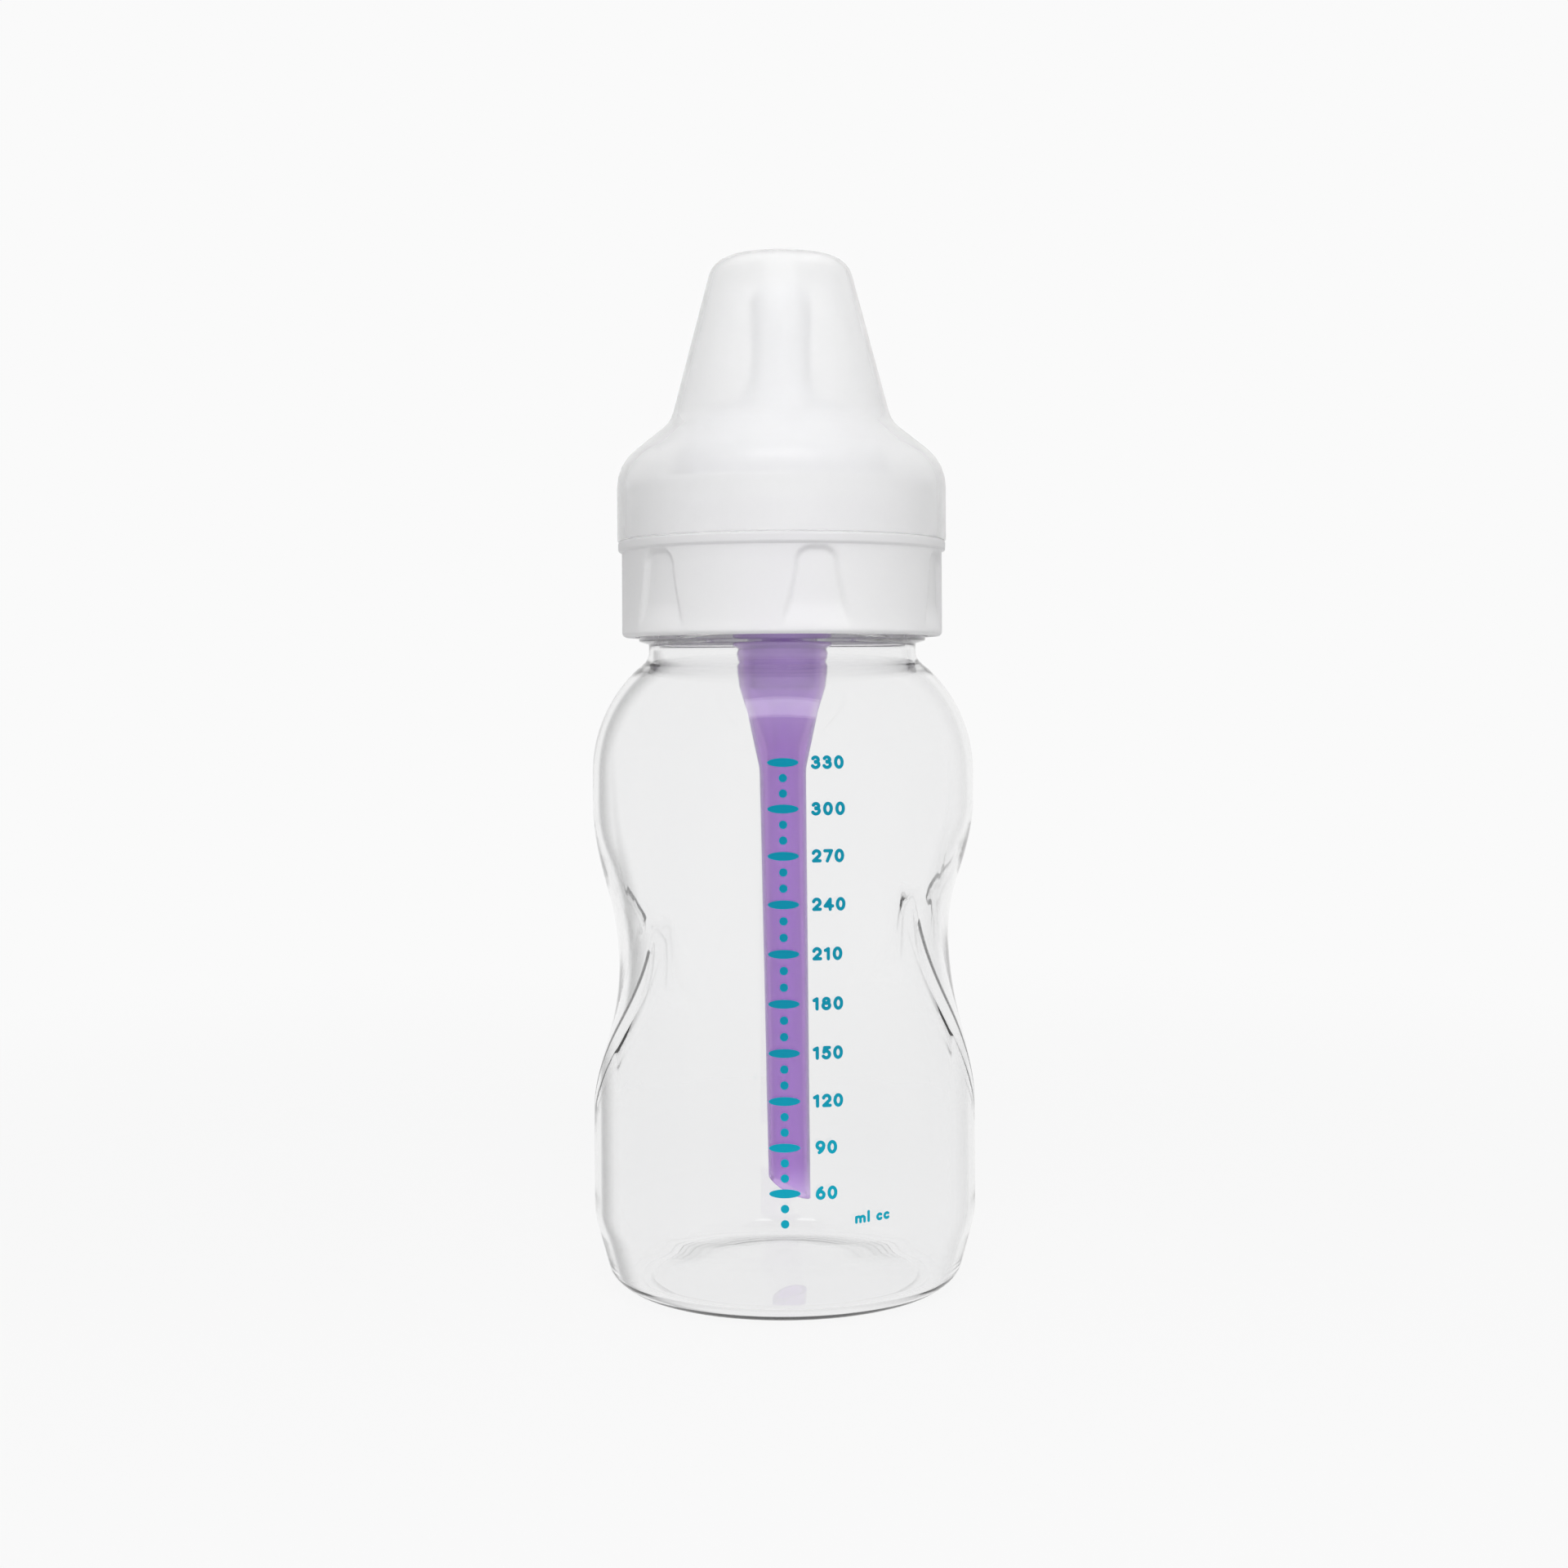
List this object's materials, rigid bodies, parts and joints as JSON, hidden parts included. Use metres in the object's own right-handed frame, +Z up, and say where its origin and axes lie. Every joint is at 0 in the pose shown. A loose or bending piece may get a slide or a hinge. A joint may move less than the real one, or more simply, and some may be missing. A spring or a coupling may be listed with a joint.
{
  "type": "baby bottle",
  "caption": "Wide-neck baby bottle with waisted hand grips, screw collar, silicone nipple, hanging air vent and push-on travel cap.",
  "frame": {"origin": "centre of the standing ring, on the surface that the bottle stands on", "axes": "+Z up along the bottle's axis, -Y towards the printed scale, +X to the right of someone who faces the scale"},
  "size_m": [0.0726, 0.0727, 0.1957],
  "materials": {
    "clear_plastic": "clear, glossy",
    "ink": "satin print",
    "white_plastic": "satin gloss",
    "silicone": "translucent satin",
    "frosted_plastic": "translucent, glossy",
    "violet_plastic": "translucent, glossy"
  },
  "bodies": {
    "bottle_body": {"bottle": "clear_plastic", "volume_marks": "ink", "vent_insert": "violet_plastic"},
    "reservoir_body": {"vent_reservoir": "violet_plastic"},
    "nipple_body": {"nipple": "silicone"},
    "collar_body": {"collar": "white_plastic"},
    "cap_body": {"travel_cap": "frosted_plastic"}
  },
  "joints": [
    {"name": "collar_rise", "type": "slide", "parent": "bottle_body", "child": "nipple_body", "axis": [0, 0, 1], "range_m": [0, 0.00501]},
    {"name": "collar_turn", "type": "hinge", "parent": "nipple_body", "child": "collar_body", "pos_m": [0, 0, 0.12], "axis": [0, 0, 1], "range_deg": [0, 450]},
    {"name": "cap_lift", "type": "slide", "parent": "collar_body", "child": "cap_body", "axis": [0, 0, 1], "range_m": [0, 0.06]},
    {"name": "reservoir_pull", "type": "slide", "parent": "bottle_body", "child": "reservoir_body", "axis": [0, 0, -1], "range_m": [0, 0.008]}
  ],
  "couplings": [
    {"joint": "collar_rise", "follows": "collar_turn", "m_per_rad": 0.00063662}
  ]
}
